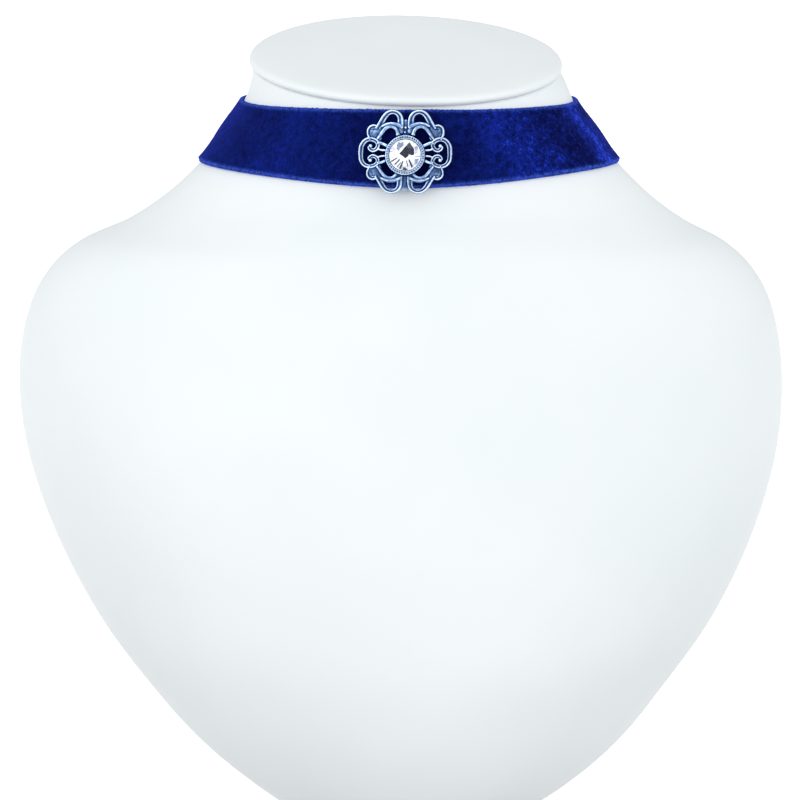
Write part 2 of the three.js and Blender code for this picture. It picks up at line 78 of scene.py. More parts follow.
# Sections of the bust from the foot up, as shares: part, height of the bust, width and front and back
# depth of the body's or the neck's own sizes, lean of the neck's lean and roll, how boxy the back is,
# and how far the section lies to the right, of the bust's half width.
SECTIONS = [
    ("body", 0, 0.224, 0.48, 0.8, 0, 2.4, 0),
    ("body", 0.024, 0.307, 0.6, 0.87, 0, 2.5, 0.013),
    ("body", 0.07, 0.446, 0.74, 0.93, 0, 2.7, 0.018),
    ("body", 0.126, 0.575, 0.85, 0.96, 0, 2.8, 0.014),
    ("body", 0.197, 0.692, 0.94, 0.98, 0, 2.9, 0.007),
    ("body", 0.287, 0.818, 1, 1, 0, 3, 0.003),
    ("body", 0.395, 0.922, 1, 1, 0, 3, -0.003),
    ("body", 0.502, 0.985, 0.95, 1, 0, 3, -0.009),
    ("body", 0.6, 1, 0.88, 1, 0, 3, -0.013),
    ("body", 0.682, 0.974, 0.81, 0.99, 0, 2.8, -0.012),
    ("body", 0.735, 0.921, 0.745, 0.98, 0, 2.6, -0.01),
    ("body", 0.771, 0.843, 0.7, 0.98, 0, 2.4, -0.007),
    ("body", 0.798, 0.733, 0.65, 0.98, 0, 2.2, 0.002),
    ("body", 0.825, 0.652, 0.59, 0.99, 0, 2.1, 0.006),
    ("neck", 0.852, 1.232, 1.06, 0.94, 0, 2, 0.009),
    ("neck", 0.885, 1.1, 1.033, 0.93, 0.15, 2, 0.012),
    ("neck", 0.918, 1.005, 1.01, 0.94, 0.35, 2, 0.013),
    ("neck", 0.951, 0.902, 0.99, 0.96, 0.65, 2, 0.013),
    ("neck", 0.978, 0.858, 0.97, 0.995, 0.88, 2, 0.011),
    ("neck", 1, 0.829, 0.935, 1.03, 1, 2, 0.002),
]
HEIGHT, WIDTH, FORWARD, REAR, LEAN, SQUARE, ASIDE = range(7)
TOP_ROW = len(SECTIONS) - 1
NECK_ROW = [row[0] for row in SECTIONS].index("neck")


def section_sizes(row):
    part, height, width, forward, rear, lean, square, aside = row
    if part == "neck":
        widths = (NECK_HALF_WIDTH, NECK_HALF_DEPTH, NECK_HALF_DEPTH)
    else:
        widths = (BUST_HALF_WIDTH, CHEST_DEPTH, BACK_DEPTH)
    across, ahead, behind = (share * size for share, size in zip((width, forward, rear), widths))
    return (height * BUST_HEIGHT, across, ahead, behind, lean, square, aside * BUST_HALF_WIDTH)


SIZES = np.array([section_sizes(row) for row in SECTIONS])


def between(a, b, c, d, t):
    """The smooth curve through four values, at the part t of the way from the second to the third."""
    return b + 0.5 * t * (c - a + t * (2 * a - 5 * b + 4 * c - d + t * (3 * (b - c) + d - a)))


def blended(column, level):
    """A smooth value between the rows of sizes."""
    row = np.minimum(np.floor(level).astype(int), TOP_ROW - 1)
    t = level - row
    return between(*(SIZES[np.clip(row + i, 0, TOP_ROW), column] for i in (-1, 0, 1, 2)), t)


def bust_points(angle, level):
    """Points on the bust's surface, in millimetres, at angles round it and levels in rows."""
    angle, level = np.broadcast_arrays(np.asarray(angle, float), np.asarray(level, float))
    c, s = np.cos(angle), np.sin(angle)
    power = np.where(s > 0, 2 / blended(SQUARE, level), 1)
    depth = np.where(s > 0, blended(REAR, level), blended(FORWARD, level))
    x = np.sign(c) * np.abs(c) ** power * blended(WIDTH, level)
    y = np.sign(s) * np.abs(s) ** power * depth
    lean, roll = (blended(LEAN, level) * whole for whole in (NECK_LEAN, NECK_ROLL))
    rise = -x * np.sin(roll)
    return np.stack([
        x * np.cos(roll) + blended(ASIDE, level),
        y * np.cos(lean) - rise * np.sin(lean),
        y * np.sin(lean) + rise * np.cos(lean) + blended(HEIGHT, level),
    ], -1)


def bust_normals(angle, level):
    step = 1e-3
    low = np.minimum(level, TOP_ROW - step)
    along = bust_points(angle + step, low) - bust_points(angle - step, low)
    up = bust_points(angle, low + step) - bust_points(angle, low)
    out = np.cross(along, up)
    return out / np.linalg.norm(out, axis=-1, keepdims=True)


def smoothstep(low, high, x):
    t = np.clip((x - low) / (high - low), 0, 1)
    return t * t * (3 - 2 * t)


RIBBON_MIDDLE = BUST_HEIGHT - RIBBON_DROP
OVER_RIVET = RIVET_HEAD_THICKNESS + 2 * SEAT_GAP
OVER_CLASP = CLASP_WALL + 2 * SEAT_GAP
# The ribbon stands off the neck fully within the first of these of the rivet or the clasp, and past the
# second not at all
STAND_OFF_ANGLES = (math.radians(6), math.radians(26))
LOWEST_RIBBON_ROW = NECK_ROW - 4
LEVELS_A_ROW = 24


def ribbon_offset(angle):
    """How far the ribbon's inner face stands off the neck."""

    def near(centre):
        away = np.abs(np.arctan2(np.sin(angle - centre), np.cos(angle - centre)))
        return 1 - smoothstep(*STAND_OFF_ANGLES, away)

    return SEAT_GAP + (OVER_RIVET - SEAT_GAP) * near(FRONT) + (OVER_CLASP - SEAT_GAP) * near(BACK)


def ribbon_points(angle, across, out):
    """Points of the ribbon at one angle: distances up from its middle line, and out from its inner face."""
    levels = np.linspace(LOWEST_RIBBON_ROW, TOP_ROW, LEVELS_A_ROW * (TOP_ROW - LOWEST_RIBBON_ROW) + 1)
    line = bust_points(angle, levels)
    steps = np.linalg.norm(np.diff(line, axis=0), axis=1)
    lengths = np.concatenate([[0], np.cumsum(steps)])
    middle = np.interp(RIBBON_MIDDLE + RIBBON_RISE * abs(math.cos(angle)), line[:, 2], lengths)
    level = np.interp(middle + np.asarray(across, float), lengths, levels)
    reach = ribbon_offset(angle) + np.asarray(out, float)
    return bust_points(angle, level) + bust_normals(angle, level) * reach[:, None]


# Meshes, nodes and materials


def mesh_object(name, points, faces, material, smooth=True):
    """A piece from points in millimetres, riding on the part's one body."""
    mesh = bpy.data.meshes.new(name)
    mesh.from_pydata([tuple(p) for p in np.asarray(points, float) * MM], [], faces)
    mesh.validate()
    mesh.polygons.foreach_set("use_smooth", [smooth] * len(mesh.polygons))
    mesh.materials.append(material)
    piece = bpy.data.objects.new(name, mesh)
    bpy.context.scene.collection.objects.link(piece)
    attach(piece, "root")
    return piece


def add_values(piece, name, values, domain="POINT"):
    layer = piece.data.attributes.new(name, "FLOAT", domain)
    layer.data.foreach_set("value", np.asarray(values, dtype=np.float32))


def grid_faces(rows, columns, wrap_rows=False):
    """Faces between rows of points that each go once round."""
    faces = []
    for i in range(rows if wrap_rows else rows - 1):
        low, high = i * columns, ((i + 1) % rows) * columns
        for j in range(columns):
            k = (j + 1) % columns
            faces.append((low + j, low + k, high + k, high + j))
    return faces


def closed_faces(rings, sides):
    """Faces of a skin over rings of points, closed at both ends."""
    faces = grid_faces(rings, sides)
    faces.append(tuple(reversed(range(sides))))
    faces.append(tuple(range((rings - 1) * sides, rings * sides)))
    return faces


def set_stops(ramp, stops):
    while len(ramp.elements) < len(stops):
        ramp.elements.new(0.5)
    for element, (place, tint) in zip(ramp.elements, stops):
        element.position = place
        element.color = (*tint, 1)


MIX_FIRST, MIX_SECOND, MIX_RESULT = 6, 7, 2  # where a mix node has its colours


class Shader:
    """A node material with one Principled shader, built up by short calls."""

    def __init__(self, name, **values):
        self.material = bpy.data.materials.new(name)
        self.material.use_nodes = True
        self.tree = self.material.node_tree
        self.main = self.tree.nodes["Principled BSDF"]
        for socket, value in values.items():
            self.main.inputs[socket.replace("_", " ")].default_value = value

    def node(self, kind, **settings):
        made = self.tree.nodes.new(kind)
        for key, value in settings.items():
            setattr(made, key, value)
        return made

    def link(self, source, target):
        self.tree.links.new(source, target)

    def feed(self, socket, source):
        self.link(source, self.main.inputs[socket])

    def coordinates(self):
        return self.node("ShaderNodeTexCoord").outputs["Object"]

    def noise(self, scale, detail=2, rough=0.5, stretch=None):
        """Noise over the piece, with scale in waves to the metre."""
        made = self.node("ShaderNodeTexNoise")
        made.inputs["Scale"].default_value = scale
        made.inputs["Detail"].default_value = detail
        made.inputs["Roughness"].default_value = rough
        source = self.coordinates()
        if stretch:
            mapping = self.node("ShaderNodeMapping")
            mapping.inputs["Scale"].default_value = stretch
            self.link(source, mapping.inputs["Vector"])
            source = mapping.outputs["Vector"]
        self.link(source, made.inputs["Vector"])
        return made.outputs["Fac"]

    def ramp(self, source, *stops):
        made = self.node("ShaderNodeValToRGB")
        set_stops(made.color_ramp, stops)
        self.link(source, made.inputs["Fac"])
        return made.outputs["Color"]

    def maths(self, operation, first, second):
        made = self.node("ShaderNodeMath", operation=operation)
        for socket, value in zip(made.inputs, (first, second)):
            if isinstance(value, (int, float)):
                socket.default_value = value
            else:
                self.link(value, socket)
        return made.outputs[0]

    def weighted(self, *parts):
        """The sum of some sources, each times its weight."""
        total, *rest = [self.maths("MULTIPLY", source, weight) for source, weight in parts]
        for part in rest:
            total = self.maths("ADD", total, part)
        return total

    def tinted(self, source, tint, share):
        """A colour that gives way to a tint where the share is high."""
        made = self.node("ShaderNodeMix", data_type="RGBA")
        self.link(share, made.inputs["Factor"])
        self.link(source, made.inputs[MIX_FIRST])
        made.inputs[MIX_SECOND].default_value = (*tint, 1)
        return made.outputs[MIX_RESULT]

    def attribute(self, name):
        return self.node("ShaderNodeAttribute", attribute_name=name).outputs["Fac"]

    def bump(self, height, strength, distance):
        made = self.node("ShaderNodeBump")
        made.inputs["Strength"].default_value = strength
        made.inputs["Distance"].default_value = distance
        self.link(height, made.inputs["Height"])
        self.link(made.outputs["Normal"], self.main.inputs["Normal"])


def colour(red, green, blue):
    """A screen colour from 0 to 255 as the light values that shaders take."""
    return tuple(((v / 255 + 0.055) / 1.055) ** 2.4 if v > 10 else v / 255 / 12.92 for v in (red, green, blue))


def grey(value):
    return (value, value, value)


def leatherette_material():
    shader = Shader("leatherette", Roughness=0.5, Specular_IOR_Level=0.35)
    tone = shader.noise(14, 3)
    shader.feed("Base Color", shader.ramp(tone, (0.3, colour(240, 245, 246)), (0.7, colour(246, 249, 250))))
    grain = shader.node("ShaderNodeTexVoronoi", feature="SMOOTH_F1")
    grain.inputs["Scale"].default_value = 1100
    shader.link(shader.coordinates(), grain.inputs["Vector"])
    pores = shader.noise(2600, 3)
    height = shader.maths("ADD", grain.outputs["Distance"], shader.maths("MULTIPLY", pores, 0.35))
    shader.feed("Roughness", shader.ramp(pores, (0.35, grey(0.46)), (0.7, grey(0.6))))
    shader.bump(height, 0.12, 0.0001)
    return shader.material


def velvet_material():
    shader = Shader(
        "velvet", Roughness=0.9, Specular_IOR_Level=0.03, Sheen_Weight=0.16, Sheen_Roughness=0.3
    )
    shader.main.inputs["Sheen Tint"].default_value = (*colour(24, 60, 255), 1)
    patches, tufts, pile = shader.noise(120, 3, 0.6), shader.noise(620, 3, 0.65), shader.noise(1700, 3, 0.7)
    grain = shader.weighted((patches, 0.5), (tufts, 0.8), (pile, 0.9))
    grain = shader.maths("MULTIPLY", shader.maths("SUBTRACT", grain, 1.1), shader.attribute("nap"))
    # The velvet's mottled tone, plus the painted light and shade round the neck
    depth = shader.maths("ADD", grain, shader.attribute("painted_light"))
    body = shader.ramp(
        depth,
        (0.15, colour(2, 3, 46)),
        (0.38, colour(5, 14, 74)),
        (0.55, colour(11, 28, 104)),
        (0.72, colour(18, 38, 150)),
        (0.92, colour(46, 74, 214)),
    )
    # Painted sheen: a lighter blue along the pile's upper and lower edges, broken up by noise
    fuzz = shader.weighted((pile, 3.2), (tufts, 1.2))
    edge = shader.maths("MULTIPLY", shader.attribute("edge"), shader.maths("SUBTRACT", fuzz, 1.55))
    shader.feed("Base Color", shader.tinted(body, colour(60, 90, 204), edge))
    shader.bump(shader.maths("ADD", pile, tufts), 0.4, 0.0003)
    return shader.material


def silver_material():
    """Silver painted with light and shade: darker and bluer in its hollows as painted shade and painted
    reflection of the blue velvet, and near white on its ridges as painted highlights.
    """
    shader = Shader("silver", Metallic=1)
    # Noise that streaks the painted highlights and shade, and bumps the surface
    streak_noise = shader.noise(800, 3)
    hollow = shader.attribute("hollow")
    shade = shader.maths("ADD", hollow, shader.maths("MULTIPLY", shader.maths("SUBTRACT", streak_noise, 0.4), 0.58))
    # Painted light: near white on the ridges as painted highlights, blue on the flats and dark blue in the
    # hollows as painted shade and painted reflection of the velvet
    tone = shader.ramp(
        shade,
        (0.12, colour(220, 236, 254)),
        (0.3, colour(148, 176, 214)),
        (0.52, colour(90, 118, 164)),
        (0.82, colour(36, 56, 100)),
    )
    shader.feed("Base Color", tone)
    shader.feed("Roughness", shader.ramp(shade, (0.2, grey(0.16)), (0.8, grey(0.34))))
    shader.bump(streak_noise, 0.08, 0.0001)
    return shader.material


def clasp_material():
    shader = Shader("clasp metal", Metallic=1, Roughness=0.35)
    brush = shader.noise(500, 3, 0.6, stretch=(1, 1, 8))
    shader.feed("Base Color", shader.ramp(brush, (0.3, colour(146, 156, 172)), (0.7, colour(186, 196, 208))))
    shader.feed("Roughness", shader.ramp(brush, (0.3, grey(0.28)), (0.7, grey(0.42))))
    shader.bump(brush, 0.1, 0.0001)
    return shader.material


# The bust

BUST_SIDES = 180
STEPS_A_ROW = 6
CAP_SIDES = 160


def bust_piece(material):
    angles = np.arange(BUST_SIDES) / BUST_SIDES * 2 * math.pi
    levels = np.linspace(0, TOP_ROW, TOP_ROW * STEPS_A_ROW + 1)
    points = bust_points(angles[None, :], levels[:, None]).reshape(-1, 3)
    piece = mesh_object("bust_cover", points, closed_faces(len(levels), BUST_SIDES), material)
    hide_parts("bust_body")
    return piece


# The padded cap's outline from below its rim to its middle: how far in from the widest place, and height
CAP_OUTLINE = [
    (30, 0.02), (8, 0), (1.9, -0.02), (1.2, 0.05), (0.7, 0.22), (0.32, 0.5), (0.1, 0.85), (0, 1.2), (0.05, 1.55),
    (0.2, 1.88), (0.5, 2.18), (1, 2.44), (1.8, 2.66), (3, 2.86), (5, 3.08), (8, 3.32), (12, 3.56), (18, 3.8),
    (26, 4), (36, 4.12), (44, 4.15),
]


def cap_piece(material):
    """The padded cap, with a soft rim that turns in below."""
    width = SIZES[TOP_ROW][WIDTH] + CAP_OVERHANG
    ahead, behind = (SIZES[TOP_ROW][column] + CAP_OVERHANG for column in (FORWARD, REAR))
    points = []
    for inset, height in CAP_OUTLINE:
        reach = 1 - inset / width
        for j in range(CAP_SIDES):
            turn = j / CAP_SIDES * 2 * math.pi
            depth = ahead if math.sin(turn) < 0 else behind
            points.append((reach * width * math.cos(turn), reach * depth * math.sin(turn), height))
    tilt = Matrix.Rotation(NECK_LEAN, 3, "X") @ Matrix.Rotation(NECK_ROLL, 3, "Y")
    seat = Vector((SIZES[TOP_ROW][ASIDE], 0, BUST_HEIGHT + SEAT_GAP / math.cos(NECK_LEAN)))
    placed = [tilt @ Vector(p) + seat for p in points]
    piece = mesh_object("cap_cover", placed, closed_faces(len(CAP_OUTLINE), CAP_SIDES), material)
    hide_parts("bust_cap")
    return piece


# The ribbon

# How the velvet is painted with light and shade round the neck, lightest towards the right with a painted
# highlight near the right side, against the cosine of the angle from the right
NECK_ANGLE_PLACES = (-1, -0.88, -0.6, -0.35, 0, 0.3, 0.52, 0.68, 0.82, 0.9, 0.96, 1)
PAINTED_LIGHT_SHADES = (0.62, 0.48, 0.56, 0.47, 0.4, 0.44, 0.62, 0.58, 0.42, 0.38, 0.76, 0.55)
NAP_SHADES = (0.5, 0.5, 0.55, 0.55, 0.5, 0.6, 0.9, 1.1, 1.2, 1.2, 1.1, 1)  # how mottled it is there

# Noise, as its fineness and its height in millimetres: up and down on the pile, and sideways at its fringe
PILE_NOISE = ((2.2, 0.05), (9, 0.035))
FRINGE_NOISE = ((14, 0.12), (41, 0.2))
SELVAGE = 0.3
WEAVE_THICKNESS = 0.45
PILE_COLUMNS = 41
FRINGE_WIDTH = 0.5
RIBBON_STATIONS = 900


def ribbon_outline():
    """A section of the ribbon: distances up from its middle line, and out from its inner face."""
    half, base = RIBBON_WIDTH / 2, WEAVE_THICKNESS
    pile_half = half - SELVAGE
    pile = np.linspace(-pile_half + 0.25, pile_half - 0.25, PILE_COLUMNS)
    rim = [(-0.02, base), (0.03, base + 0.25), (0.12, RIBBON_THICKNESS - 0.1)]
    rim = [(-pile_half + inset, out) for inset, out in rim]
    outline = [(-half, 0.08), (-half, base - 0.1), (-half + 0.1, base)] + rim
    outline += [(across, RIBBON_THICKNESS) for across in pile]
    outline += [(-across, out) for across, out in reversed(rim)]
    outline += [(half - 0.1, base), (half, base - 0.1), (half, 0.08), (half - 0.1, 0), (0, 0), (-half + 0.1, 0)]
    return outline


def ripple(spot, waves):
    return sum(height * noise.noise(spot * fineness) for fineness, height in waves)


def ribbon_piece(material):
    """The velvet: a pile that stands on a woven strip, which shows as a thin edge above and below."""
    outline = ribbon_outline()
    across, out = np.array(outline).T
    pile_half = RIBBON_WIDTH / 2 - SELVAGE
    radius = SIZES[NECK_ROW + 1][WIDTH] ** 2 / SIZES[NECK_ROW + 1][REAR]
    gap = (CLASP_WEB / 2 + SEAT_GAP) / radius
    rings, edges, painted_lights, naps = [], [], [], []
    for i in range(RIBBON_STATIONS + 1):
        angle = BACK + gap + (2 * math.pi - 2 * gap) * i / RIBBON_STATIONS
        ring_across, ring_out = across.copy(), out.copy()
        for j, (a, o) in enumerate(outline):
            if o > WEAVE_THICKNESS - 0.15:
                spot = Vector((math.cos(angle) * 9, math.sin(angle) * 9, a * 0.16))
                ring_out[j] += ripple(spot, PILE_NOISE)
                if abs(a) > pile_half - FRINGE_WIDTH:
                    ring_across[j] += ripple(spot, FRINGE_NOISE) * math.copysign(1, a)
        rings.append(ribbon_points(angle, ring_across, ring_out))
        # Where the pile's edges get their painted sheen
        edges.append(np.clip((np.abs(across) - (pile_half - 0.95)) / 0.75, 0, 1))
        # Painted light and shade by the angle round the neck, and how mottled the velvet is there
        painted_lights.append(np.full(len(across), np.interp(math.cos(angle), NECK_ANGLE_PLACES, PAINTED_LIGHT_SHADES)))
        naps.append(np.full(len(across), np.interp(math.cos(angle), NECK_ANGLE_PLACES, NAP_SHADES)))
    piece = mesh_object("velvet", np.concatenate(rings), grid_faces(len(rings), len(outline)), material)
    for name, values in (("edge", edges), ("painted_light", painted_lights), ("nap", naps)):
        add_values(piece, name, np.concatenate(values))
    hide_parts("velvet_ribbon")
    return piece


# The rosette. Each wire starts with 0 where it is round, or 1 or -1 where it is grooved, with the higher
# ridge to one side or the other. Its rows are shares of the half width, of the half height, and of the wire
# height for the half thickness.
WIRES = {
    "top_loop": (1, [
        (0.115, 0.6, 0.6), (0.11, 0.72, 0.6), (0.125, 0.85, 0.54), (0.185, 0.94, 0.44),
        (0.285, 0.975, 0.4), (0.385, 0.94, 0.46), (0.455, 0.855, 0.52), (0.505, 0.76, 0.54),
        (0.555, 0.66, 0.54), (0.61, 0.56, 0.52),
    ]),
    "loop_foot": (0, [
        (0.06, 0.6, 0.4), (0.16, 0.66, 0.42), (0.29, 0.69, 0.42), (0.42, 0.675, 0.36), (0.52, 0.63, 0.2),
    ]),
    "inner_arc": (0, [
        (0.16, 0.42, 0.42), (0.185, 0.53, 0.38), (0.245, 0.605, 0.36), (0.335, 0.625, 0.38), (0.42, 0.59, 0.42),
        (0.485, 0.51, 0.42), (0.54, 0.42, 0.36), (0.6, 0.34, 0.24),
    ]),
    "leaf_rim": (1, [
        (0.6, 0.6, 0.36), (0.68, 0.63, 0.42), (0.745, 0.6, 0.46), (0.775, 0.54, 0.48),
        (0.775, 0.46, 0.46), (0.75, 0.385, 0.42), (0.73, 0.33, 0.4),
    ]),
    "side_scroll": (-1, [
        (0.95, -0.02, 0.48), (0.94, 0.144, 0.48), (0.905, 0.24, 0.44), (0.845, 0.305, 0.42),
        (0.765, 0.33, 0.4), (0.676, 0.315, 0.4), (0.605, 0.258, 0.4), (0.585, 0.177, 0.4),
        (0.625, 0.1, 0.4), (0.699, 0.07, 0.38), (0.757, 0.11, 0.38), (0.768, 0.165, 0.38),
    ]),
    "scroll_tie": (0, [
        (0.6, 0.25, 0.36), (0.498, 0.23, 0.34), (0.35, 0.15, 0.36),
    ]),
    "bezel_tie": (0, [
        (0.6, 0.11, 0.23), (0.51, 0.075, 0.23), (0.38, 0.07, 0.25),
    ]),
}

# Oval lumps of one quarter: place as shares, half lengths as shares of the wire height, tilt in degrees
LUMPS = [
    (0.61, 0.46, 1.5, 1.05, 0.42, -42),
    (0.745, 0.175, 0.46, 0.42, 0.62, 0),
    (0.1, 0.54, 0.8, 0.6, 0.44, 70),
    (0.55, 0.35, 0.75, 0.4, 0.36, -58),
    (0.72, 0.51, 0.55, 0.35, 0.4, -60),
]

# The pillars above and below the bezel, and the beads on the upper one: place to the right, height as a
# share, where the dome's level is taken, lift from it, and half lengths across, up and out in millimetres
MIDDLE_LUMPS = [
    (0, 0.6, 7, -0.25, 1.2, 2.4, 0.6),
    (0, -0.62, 7, -0.15, 1.45, 3, 0.42),
    (0, 0.6, 7, 0.42, 0.36, 0.36, 0.36),
    (-0.15, 0.49, 6, 0.35, 0.3, 0.3, 0.3),
]
MILLED_STRANDS = 46
MILLED_TILT = 38
RIVET_OUTLINE = [(0.9, -1.9), (0.9, 0.6), (0.5, 0.7)]
RIVET_SIDES = 24

# Sections of the wires: sideways and outward, as shares of the half thickness and the wire's rise
ROUND_PROFILE = [
    (-1, 0.25), (-0.93, 0.55), (-0.72, 0.82), (-0.38, 0.96), (0, 1), (0.38, 0.96), (0.72, 0.82),
    (0.93, 0.55), (1, 0.25), (0.85, 0), (-0.85, 0),
]
GROOVED_PROFILE = [
    (-1, 0.25), (-0.96, 0.6), (-0.84, 0.88), (-0.62, 1), (-0.4, 0.97), (-0.18, 0.84), (0.04, 0.74),
    (0.22, 0.72), (0.42, 0.8), (0.62, 0.82), (0.82, 0.7), (0.95, 0.48), (1, 0.25), (0.85, 0), (-0.85, 0),
]
WIRE_SWELL = 1.12  # the finished wires against the plain ones
WIRE_SINK = 0.42  # how far a wire's foot lies below the dome's level, of the wire height
WIRE_RISE = 0.94
LUMP_RINGS = 12
LUMP_SIDES = 24
TUBE_SIDES = 10
LATHE_SIDES = 96


def filigree_y(share):
    return FILIGREE_RISE + share * ROSETTE_HALF_HEIGHT


def dome_level(x, y):
    reach = min(1, math.hypot(x / ROSETTE_HALF_WIDTH, (y - FILIGREE_RISE) / ROSETTE_HALF_HEIGHT))
    return SEAT_GAP + WIRE_HEIGHT / 2 + DOME_RISE * (1 - reach**2)


class Casting:
    """Gathers closed solids that overlap, to be cast as one."""

    def __init__(self):
        self.points = []
        self.faces = []

    def rings(self, rings, hoop=False):
        size = len(rings), len(rings[0])
        faces = grid_faces(*size, wrap_rows=True) if hoop else closed_faces(*size)
        start = len(self.points)
        self.points += [tuple(p) for ring in rings for p in ring]
        self.faces += [tuple(start + i for i in face) for face in faces]

    def wire(self, rows, grooved, sign_x, sign_y):
        path, thick = smooth_path(rows, sign_x, sign_y)
        profile = GROOVED_PROFILE if grooved else ROUND_PROFILE
        rings = []
        last = len(path) - 1
        for i, centre in enumerate(path):
            ahead, behind = path[min(i + 1, last)], path[max(i - 1, 0)]
            along = (ahead - behind) / np.linalg.norm(ahead - behind)
            side = np.array([along[1], -along[0]]) * sign_x * sign_y
            level = dome_level(*centre) - WIRE_HEIGHT * WIRE_SINK
            ring = []
            for u, v in profile[:: grooved or 1]:
                u *= grooved or 1
                x, y = centre + side * u * thick[i] * WIRE_HEIGHT * WIRE_SWELL
                ring.append((x, y, level + v * WIRE_HEIGHT * WIRE_RISE))
            rings.append(ring)
        self.rings(rings)

    def lump(self, x, y, z, long, wide, high, tilt):
        turn = math.radians(tilt)
        rings = []
        for i in range(1, LUMP_RINGS):
            up = (i / LUMP_RINGS - 0.5) * math.pi
            ring = []
            for j in range(LUMP_SIDES):
                a = j / LUMP_SIDES * 2 * math.pi
                u, v = long * math.cos(up) * math.cos(a), wide * math.cos(up) * math.sin(a)
                ring.append((
                    x + u * math.cos(turn) - v * math.sin(turn),
                    y + u * math.sin(turn) + v * math.cos(turn),
                    z + high * math.sin(up),
                ))
            rings.append(ring)
        self.rings(rings)

    def lathe(self, outline, sides=LATHE_SIDES):
        rings = []
        for radius, height in outline:
            turns = (j / sides * 2 * math.pi for j in range(sides))
            rings.append([(radius * math.cos(a), radius * math.sin(a), height) for a in turns])
        self.rings(rings)

    def hoop(self, radius, level, tube, sides=LATHE_SIDES):
        rings = []
        for i in range(sides):
            a = i / sides * 2 * math.pi
            ring = []
            for j in range(TUBE_SIDES):
                b = j / TUBE_SIDES * 2 * math.pi
                r = radius + tube * math.cos(b)
                ring.append((r * math.cos(a), r * math.sin(a), level + tube * math.sin(b)))
            rings.append(ring)
        self.rings(rings, hoop=True)


STEPS_A_LEG = 10


def smooth_path(rows, sign_x, sign_y):
    """A fine curve through the rows, in millimetres, and the half thickness along it."""
    table = np.array(rows, float)
    ends = np.array([2 * table[0] - table[1], *table, 2 * table[-1] - table[-2]])
    fine = []
    for i in range(1, len(ends) - 2):
        for t in np.arange(STEPS_A_LEG) / STEPS_A_LEG:
            fine.append(between(*ends[i - 1 : i + 3], t))
    fine.append(ends[-2])
    fine = np.array(fine)
    flat = fine[:, :2] * [sign_x * ROSETTE_HALF_WIDTH, sign_y * ROSETTE_HALF_HEIGHT] + [0, FILIGREE_RISE]
    return flat, fine[:, 2]


def rosette_frame():
    """X along the ribbon, Y up it, Z out of it, with the origin on the ribbon's face."""
    places = np.array([-ROSETTE_DROP, 1 - ROSETTE_DROP, -1 - ROSETTE_DROP])
    origin, above, below = (Vector(p) for p in ribbon_points(FRONT, places, np.full(3, RIBBON_THICKNESS)))
    up = (above - below).normalized()
    right = Vector((1, 0, 0))
    out = right.cross(up)
    turn = Matrix((right, up, out)).transposed().to_4x4()
    return Matrix.Translation(origin) @ turn


GIRDLE_LEVEL = BEZEL_FLOOR + SEAT_GAP * 2 + PAVILION_DEPTH
BORE = CRYSTAL_RADIUS + STONE_GAP


def bezel_outline():
    rim = BEZEL_HEIGHT + SEAT_GAP
    return [
        (0.02, SEAT_GAP), (BEZEL_RADIUS * 0.94, SEAT_GAP), (BEZEL_RADIUS, SEAT_GAP + 0.7),
        (BEZEL_RADIUS, rim - 0.3), (BEZEL_RADIUS - 0.1, rim), (BORE + 0.15, rim), (BORE, rim - 0.15),
        (BORE, SEAT_GAP + GIRDLE_LEVEL - 0.6), (BORE * 0.35, SEAT_GAP + BEZEL_FLOOR),
        (0.02, SEAT_GAP + BEZEL_FLOOR),
    ]


def cast_rosette(casting):
    for sign_x in (1, -1):
        for sign_y in (1, -ROSETTE_LOWER_SHARE):
            for grooved, rows in WIRES.values():
                casting.wire(rows, grooved, sign_x, sign_y)
            for x, y, long, wide, high, tilt in LUMPS:
                cx, cy = sign_x * x * ROSETTE_HALF_WIDTH, filigree_y(sign_y * y)
                turn = tilt * (1 if sign_x * sign_y > 0 else -1)
                sizes = (s * WIRE_HEIGHT for s in (long, wide, high))
                casting.lump(cx, cy, dome_level(cx, cy) - 0.1, *sizes, turn)
    for x, share, dome_at, lift, *half_lengths in MIDDLE_LUMPS:
        casting.lump(x, filigree_y(share), dome_level(0, dome_at) + lift, *half_lengths, 0)
    casting.lathe(bezel_outline())
    rim = SEAT_GAP + BEZEL_HEIGHT
    casting.hoop(BEZEL_RADIUS - 0.14, rim + 0.02, 0.15)
    casting.hoop(BORE + 0.12, rim + 0.04, 0.13)
    for i in range(MILLED_STRANDS):
        a = i / MILLED_STRANDS * 2 * math.pi
        r = (BEZEL_RADIUS + BORE) / 2
        tilt = math.degrees(a) + MILLED_TILT
        casting.lump(r * math.cos(a), r * math.sin(a), rim + 0.02, 0.42, 0.2, 0.2, tilt)
    casting.lathe(RIVET_OUTLINE, RIVET_SIDES)


SKIN_VOXEL = 0.115
SKIN_SOFTENING = 3  # times


def cast(casting):
    """Points, faces and edges of one skin over all the solids, with the joints between them softened."""
    rough = bpy.data.meshes.new("rough")
    rough.from_pydata(casting.points, [], casting.faces)
    holder = bpy.data.objects.new("rough", rough)
    bpy.context.scene.collection.objects.link(holder)
    remesh = holder.modifiers.new("skin", "REMESH")
    remesh.mode = "VOXEL"
    remesh.voxel_size = SKIN_VOXEL
    soften = holder.modifiers.new("soften", "SMOOTH")
    soften.factor = 0.5
    soften.iterations = SKIN_SOFTENING
    graph = bpy.context.evaluated_depsgraph_get()
    skin = holder.evaluated_get(graph).to_mesh()
    points = np.empty(len(skin.vertices) * 3, np.float32)
    skin.vertices.foreach_get("co", points)
    points = points.reshape(-1, 3).astype(float)
    faces = [tuple(p.vertices) for p in skin.polygons]
    edges = np.array([tuple(e.vertices) for e in skin.edges])
    holder.evaluated_get(graph).to_mesh_clear()
    bpy.data.objects.remove(holder)
    return points, faces, edges


